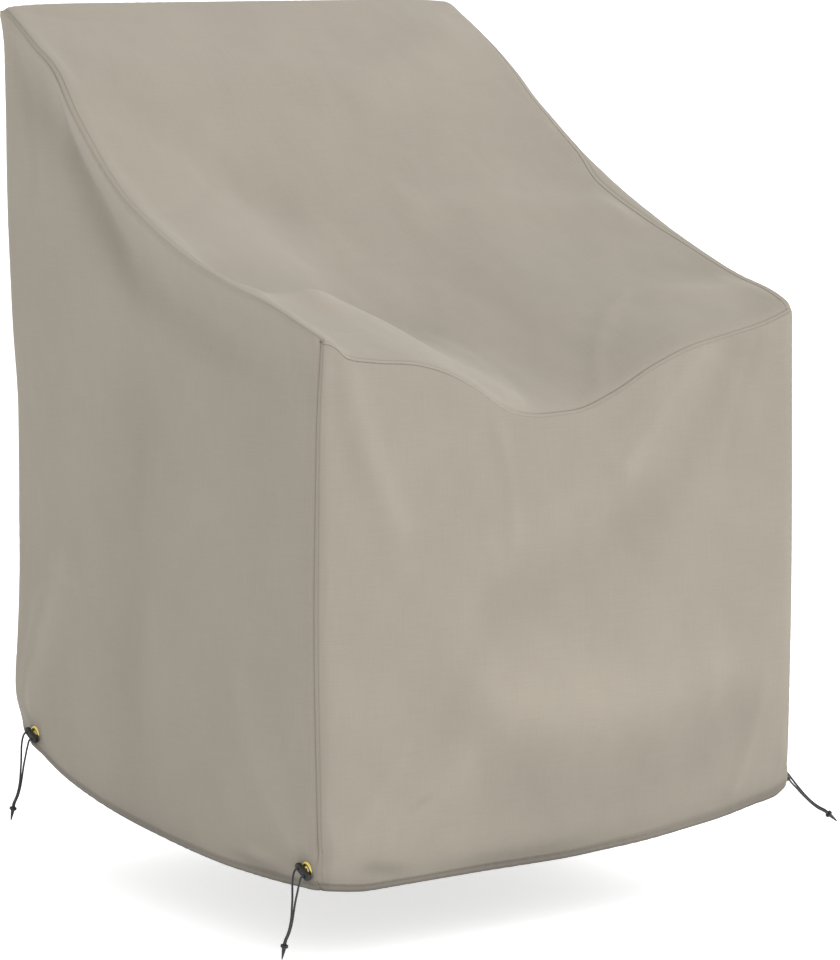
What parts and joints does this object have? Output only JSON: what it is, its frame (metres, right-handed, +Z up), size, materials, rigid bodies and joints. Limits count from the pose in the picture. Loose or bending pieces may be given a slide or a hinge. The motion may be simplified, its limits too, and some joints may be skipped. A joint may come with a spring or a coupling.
{
  "type": "fitted armchair cover",
  "caption": "Fitted cloth cover with a high back, low arm-high front and sloping top, with eyelets, bar toggles and tie cords at its lower corners.",
  "frame": {"origin": "on the inner face of the cover, under the top edge of its back, midway between the two sides, where the cover rests on what it covers", "axes": "+Z up, -Y towards the front of the cover, +X to the right seen from the front"},
  "size_m": [0.7482, 0.6558, 0.9857],
  "materials": {
    "cover_cloth": "fine plain weave, coated, taupe",
    "eyelet_metal": "pale, pressed and polished",
    "fitting_plastic": "charcoal, moulded",
    "tie_cord": "charcoal braided cord"
  },
  "bodies": {
    "root": {"back_panel": "cover_cloth", "main_panel": "cover_cloth", "front_panel": "cover_cloth", "side_panel_left": "cover_cloth", "side_panel_right": "cover_cloth", "eyelet_front_left": "eyelet_metal", "toggle_front_left": "fitting_plastic", "cord_front_left_a": "tie_cord", "cord_front_left_b": "tie_cord", "cord_end_front_left": "fitting_plastic", "eyelet_back_left": "eyelet_metal", "toggle_back_left": "fitting_plastic", "cord_back_left_a": "tie_cord", "cord_back_left_b": "tie_cord", "cord_end_back_left": "fitting_plastic", "eyelet_front_right": "eyelet_metal", "toggle_front_right": "fitting_plastic", "cord_front_right_a": "tie_cord", "cord_front_right_b": "tie_cord", "cord_end_front_right": "fitting_plastic", "eyelet_back_right": "eyelet_metal", "toggle_back_right": "fitting_plastic", "cord_back_right_a": "tie_cord", "cord_back_right_b": "tie_cord", "cord_end_back_right": "fitting_plastic"}
  },
  "joints": []
}
